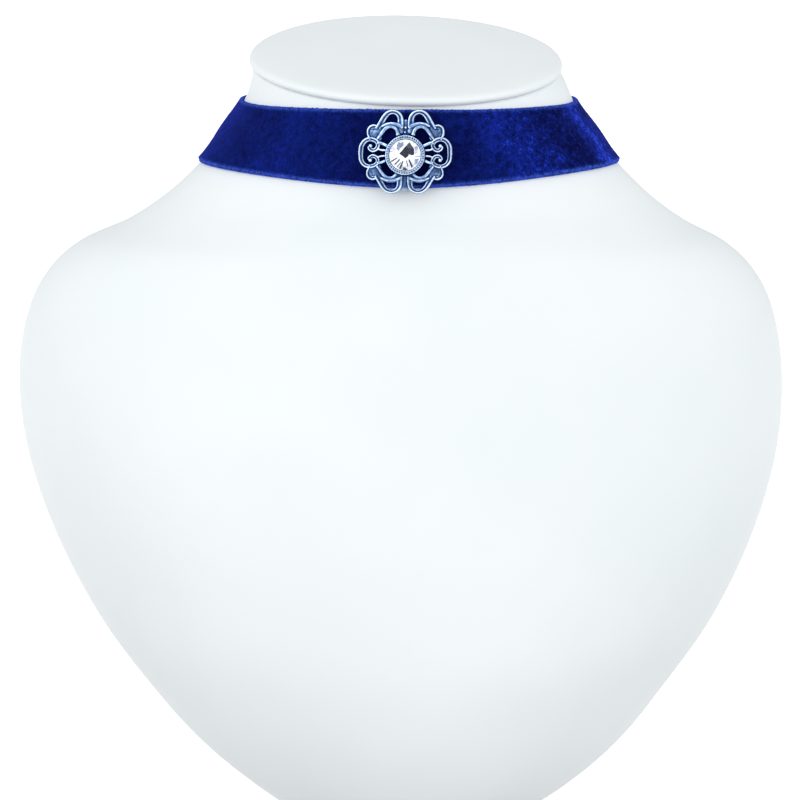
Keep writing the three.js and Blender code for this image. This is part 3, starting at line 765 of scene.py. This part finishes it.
def spread(values, edges, times):
    """The values, averaged with their neighbours' that many times."""
    for _ in range(times):
        total = values.copy()
        weight = np.ones(len(values))
        for a, b in (edges.T, edges.T[::-1]):
            np.add.at(total, a, values[b])
            np.add.at(weight, a, 1)
        values = total / weight
    return values


def rosette_piece(material):
    casting = Casting()
    cast_rosette(casting)
    points, faces, edges = cast(casting)
    hollow = hollowness(points, edges)
    place = rosette_frame()
    placed = [place @ Vector(p) for p in points]
    piece = mesh_object("cast_rosette", placed, faces, material)
    # The hollows and ridges that the silver's painted shade and painted highlights follow
    add_values(piece, "hollow", hollow)
    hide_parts("rosette")
    return piece


SPREADS = (5, 22)  # times, for the narrow and the wide surroundings
NARROW_WEIGHT = 1.5
EXTREMES = (3, 50, 97)  # percentiles of the skin's points


def hollowness(points, edges):
    """From 0 on a ridge to 1 in a hollow: how far a point lies below its surroundings."""
    height = points[:, 2]
    narrow, wide = (spread(height, edges, times) for times in SPREADS)
    depth = (wide - height) + NARROW_WEIGHT * (narrow - height)
    ridge, middle, valley = np.percentile(depth, EXTREMES)
    return np.interp(depth, (ridge, middle, valley), (0, 0.5, 1))


# The crystal


def crystal_material():
    """The stone's polished skin: clear, with a mirror's glint on each facet."""
    shader = Shader("crystal", Roughness=0.02, IOR=1.55)
    output = shader.tree.nodes["Material Output"]
    clear = shader.node("ShaderNodeBsdfTransparent")
    gloss = shader.node("ShaderNodeBsdfGlossy")
    gloss.inputs["Roughness"].default_value = 0.03
    fresnel = shader.node("ShaderNodeFresnel")
    fresnel.inputs["IOR"].default_value = 1.45
    mixed = shader.node("ShaderNodeMixShader")
    shader.link(fresnel.outputs[0], mixed.inputs[0])
    shader.link(clear.outputs[0], mixed.inputs[1])
    shader.link(gloss.outputs[0], mixed.inputs[2])
    shader.link(mixed.outputs[0], output.inputs["Surface"])
    return shader.material


def core_material():
    # Painted glow: the painted reflections and sparkle are also given as emission, so the facets shine though no
    # lamp lights them
    shader = Shader("crystal core", Roughness=0.3, Metallic=0, Emission_Strength=0.42)
    tone = shader.ramp(
        shader.attribute("tone"),
        (0.0, colour(2, 3, 30)),
        (0.15, colour(24, 30, 66)),
        (0.45, colour(128, 142, 176)),
        (0.75, colour(246, 249, 255)),
    )
    shader.feed("Base Color", tone)
    shader.feed("Emission Color", tone)
    return shader.material


CORE_RADIUS = 4.37
CORE_RIM_SIDES = 48
CORE_HEIGHT = 1.38  # of its flat middle, above the girdle
CORE_DROP = 1.3  # from there to its rim
TABLE_SHARE = 0.56
FACET_RINGS = ((1.2, 7), (2.2, 11), (3.1, 17), (3.8, 26))  # radius, and how many corners
# Painted sparkle: tones of the facets outside the patches of painted reflection
SPARKLE_TONES = [0.6, 0.8, 1, 1, 1, 1]

# Painted reflections on the facets: dark and grey patches where the stone mirrors the dark room, as tones with
# corners in millimetres from the stone's middle
REFLECTION_PATCHES = [
    (0.0, [(-1.6, 0.3), (-0.8, 1.1), (-0.2, 1.9), (0.6, 2.8), (1.2, 3.6), (1.85, 2.5), (2.5, 1.6), (2.6, 0.4),
           (2.4, -0.2), (1.6, -0.15), (1.2, 0.15), (0.75, -0.6), (0.1, -1.05), (-0.5, -0.5)]),
    (0.35, [(-2.3, 2.6), (-1.9, 3.6), (-1.3, 3.3), (-0.7, 3.7), (-0.35, 2.5), (-1.1, 1.9), (-1.9, 0.9),
            (-2.4, 1.7)]),
    (0.42, [(2.5, 2.2), (3.4, 2.5), (3.7, 1.4), (2.9, 0.9)]),
    (0.4, [(2.7, -1.2), (3.9, -1.0), (3.5, -2.4), (2.6, -2.9)]),
    (0.05, [(-0.7, -4.1), (-0.3, -3.4), (0.4, -3.7), (0.9, -4.1), (0.1, -4.3)]),
    (0.1, [(-1.65, -3.75), (-0.6, -1.75), (-0.3, -1.85), (-1.1, -3.95)]),
    (0.05, [(-1.5, -1.2), (-1.25, -1.5), (-2.75, -2.9), (-3.05, -2.6)]),
    (0.15, [(-2.1, -0.75), (-2.0, -1.05), (-3.7, -2.0), (-3.9, -1.6)]),
    (0.1, [(1.0, -1.5), (1.35, -1.35), (2.35, -3.3), (1.85, -3.6)]),
    (0.15, [(0.35, -1.75), (0.6, -1.7), (1.05, -3.2), (0.7, -3.3)]),
    (0.2, [(-1.2, -2.1), (-1.0, -2.25), (-2.0, -3.5), (-2.3, -3.3)]),
    (0.45, [(-4.2, 1.2), (-2.9, 0.9), (-2.9, 0.75), (-4.3, 0.8)]),
    (0.45, [(-3.9, 2.0), (-2.8, 1.5), (-2.85, 1.3), (-4.1, 1.65)]),
    (0.45, [(2.6, -0.5), (4.2, -0.3), (4.2, -0.55), (2.6, -0.7)]),
]


def inside(x, y, corners):
    crossings = 0
    for (x0, y0), (x1, y1) in zip(corners, corners[1:] + corners[:1]):
        if (y0 > y) != (y1 > y) and x < x0 + (y - y0) * (x1 - x0) / (y1 - y0):
            crossings += 1
    return crossings % 2 == 1


def core_piece(material):
    """Facets just below the stone's crown, with painted reflections and painted sparkle on them."""
    rng = random.Random(7)
    flat, edges = [], []
    for j in range(CORE_RIM_SIDES):
        a = j / CORE_RIM_SIDES * 2 * math.pi
        flat.append(Vector((CORE_RADIUS * math.cos(a), CORE_RADIUS * math.sin(a))))
    for _, corners in REFLECTION_PATCHES:
        start, count = len(flat), len(corners)
        flat += [Vector(corner) for corner in corners]
        edges += [(start + i, start + (i + 1) % count) for i in range(count)]
    for radius, count in FACET_RINGS:
        for j in range(count):
            a = (j + rng.uniform(-0.3, 0.3)) / count * 2 * math.pi
            r = radius * rng.uniform(0.92, 1.06)
            flat.append(Vector((r * math.cos(a), r * math.sin(a))))
    flat, _, faces, *_ = delaunay_2d_cdt(flat, edges, [], 0, 1e-5)
    table = CRYSTAL_RADIUS * TABLE_SHARE
    points = []
    for p in flat:
        down = max(0, p.length - table) / (CRYSTAL_RADIUS - table) * CORE_DROP
        points.append((p.x, p.y, SEAT_GAP + GIRDLE_LEVEL + CORE_HEIGHT - down + rng.uniform(-0.07, 0.05)))
    tones = []
    for face in faces:
        x, y = (sum(points[i][k] for i in face) / len(face) for k in (0, 1))
        # Each facet gets painted sparkle, or the tone of the painted reflection it lies in
        tone = rng.choice(SPARKLE_TONES)
        for value, corners in REFLECTION_PATCHES:
            if inside(x, y, corners):
                tone = value + rng.uniform(0, 0.14)
        tones.append(tone)
    place = rosette_frame()
    placed = [place @ Vector(p) for p in points]
    piece = mesh_object("crystal_painted_sparkle", placed, faces, material, smooth=False)
    add_values(piece, "tone", tones, "FACE")
    return piece


# The studio

# How bright the room is from straight below (0) by the horizon (0.5) to straight above (1)
SKY = ((0, 0.14), (0.42, 0.87), (0.5, 1), (0.62, 0.98), (1, 0.63))
SKY_TINT = (0.958, 0.978, 0.988)
ROOM_STRENGTH = 1.14
SOFTBOX = Vector((-0.5, -0.5, 0.7)).normalized()  # where the light that metal mirrors comes from
# Shades of the room that metal and glass mirror, against how straight a direction points to the softbox and
# to the place that the photograph is taken from: -1 is straight away from it, 1 straight at it
SOFTBOX_SHADES = ((-1, 0.5), (0.1, 0.75), (0.5, 1), (0.72, 2.4), (1, 2.6))
FRONT_SHADES = ((-1, 0.35), (-0.3, 0.6), (0.2, 1), (0.65, 0.8), (0.95, 0.32))
FLOOR_HALF = 9
LAMP_SIZE = 1
LAMP_POWER = 6
LAMP_TARGET = Vector((0, 0, 0.13))


def light(name, place, tint):
    data = bpy.data.lights.new(name, "AREA")
    data.shape = "DISK"
    data.size = LAMP_SIZE
    data.energy = LAMP_POWER
    data.color = tint
    lamp = bpy.data.objects.new(name, data)
    lamp.location = place
    lamp.rotation_euler = (LAMP_TARGET - Vector(place)).to_track_quat("-Z", "Y").to_euler()
    lamp.visible_glossy = False
    bpy.context.scene.collection.objects.link(lamp)


def view_direction():
    """The way from the bust to the camera."""
    away = Vector((0, -math.cos(CAMERA_ELEVATION), math.sin(CAMERA_ELEVATION)))
    away.rotate(Matrix.Rotation(CAMERA_AZIMUTH, 3, "Z"))
    return away


def set_shades(ramp, stops):
    set_stops(ramp, [(place, [shade * tint for tint in SKY_TINT]) for place, shade in stops])


def facing(world, way, direction, stops):
    """Shades of the room against how straight the way there points in a direction, from -1 to 1."""
    nodes, links = world.node_tree.nodes, world.node_tree.links
    toward = nodes.new("ShaderNodeVectorMath")
    toward.operation = "DOT_PRODUCT"
    toward.inputs[1].default_value = direction
    links.new(way, toward.inputs[0])
    half = nodes.new("ShaderNodeMapRange")
    half.inputs["From Min"].default_value = -1
    links.new(toward.outputs["Value"], half.inputs["Value"])
    ramp = nodes.new("ShaderNodeValToRGB")
    links.new(half.outputs[0], ramp.inputs["Fac"])
    set_shades(ramp.color_ramp, [((place + 1) / 2, shade) for place, shade in stops])
    return ramp.outputs["Color"]


def studio():
    scene = bpy.context.scene
    scene.view_settings.view_transform = "Standard"
    world = bpy.data.worlds.new("studio")
    scene.world = world
    world.use_nodes = True
    nodes, links = world.node_tree.nodes, world.node_tree.links
    way = nodes.new("ShaderNodeTexCoord").outputs["Generated"]
    split = nodes.new("ShaderNodeSeparateXYZ")
    links.new(way, split.inputs[0])
    height = nodes.new("ShaderNodeMapRange")
    height.inputs["From Min"].default_value = -1
    links.new(split.outputs["Z"], height.inputs["Value"])
    sky = nodes.new("ShaderNodeValToRGB")
    links.new(height.outputs[0], sky.inputs["Fac"])
    set_shades(sky.color_ramp, SKY)
    shine = facing(world, way, SOFTBOX, SOFTBOX_SHADES)
    front = facing(world, way, view_direction(), FRONT_SHADES)
    room = nodes.new("ShaderNodeMix")
    room.data_type = "RGBA"
    room.blend_type = "MULTIPLY"
    room.inputs["Factor"].default_value = 1
    links.new(shine, room.inputs[MIX_FIRST])
    links.new(front, room.inputs[MIX_SECOND])
    path = nodes.new("ShaderNodeLightPath")
    seen = nodes.new("ShaderNodeMix")
    seen.data_type = "RGBA"
    links.new(path.outputs["Is Glossy Ray"], seen.inputs["Factor"])
    links.new(sky.outputs["Color"], seen.inputs[MIX_FIRST])
    links.new(room.outputs[MIX_RESULT], seen.inputs[MIX_SECOND])
    links.new(seen.outputs[MIX_RESULT], nodes["Background"].inputs["Color"])
    nodes["Background"].inputs["Strength"].default_value = ROOM_STRENGTH
    light("key", (-1.3, -1.9, 0.6), (1, 0.98, 0.96))
    light("fill", (1.5, -1.7, 0.3), (0.97, 0.99, 1))


def ground():
    mesh = bpy.data.meshes.new("floor")
    half = FLOOR_HALF
    corners = [(-half, -half, 0), (half, -half, 0), (half, half, 0), (-half, half, 0)]
    mesh.from_pydata(corners, [], [(0, 1, 2, 3)])
    shader = Shader("floor", Roughness=0.8, Specular_IOR_Level=0.1, Emission_Strength=0.6)
    shader.main.inputs["Base Color"].default_value = (0.9, 0.9, 0.9, 1)
    shader.main.inputs["Emission Color"].default_value = (1, 1, 1, 1)
    mesh.materials.append(shader.material)
    floor = bpy.data.objects.new("floor", mesh)
    floor.visible_diffuse = False
    bpy.context.scene.collection.objects.link(floor)


# The photograph's view, from its 800 by 800 frame
IMAGE_SIZE = 800
FOCAL_PIXELS = 3745
VIEW_CENTRE_X = 405
CAMERA_DISTANCE = 1.1
CAMERA_ELEVATION = math.radians(9.2)
CAMERA_AZIMUTH = math.radians(1.6)
CAMERA_TARGET = Vector((0, 0, 0.1246))


def camera():
    data = bpy.data.cameras.new("camera")
    data.sensor_width = 36
    data.lens = FOCAL_PIXELS / IMAGE_SIZE * data.sensor_width
    data.shift_x = (IMAGE_SIZE / 2 - VIEW_CENTRE_X) / IMAGE_SIZE
    data.clip_start = 0.05
    data.clip_end = 50
    made = bpy.data.objects.new("camera", data)
    away = view_direction()
    made.location = CAMERA_TARGET + away * CAMERA_DISTANCE
    made.rotation_euler = (-away).to_track_quat("-Z", "Y").to_euler()
    bpy.context.scene.collection.objects.link(made)
    bpy.context.scene.camera = made


camera()
studio()
ground()
leatherette = leatherette_material()
bust_piece(leatherette)
cap_piece(leatherette)
ribbon_piece(velvet_material())
rosette_piece(silver_material())
core_piece(core_material())
for name, material in (("crystal", crystal_material()), ("clasp", clasp_material())):
    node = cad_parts[name]
    node.data.materials.clear()
    node.data.materials.append(material)
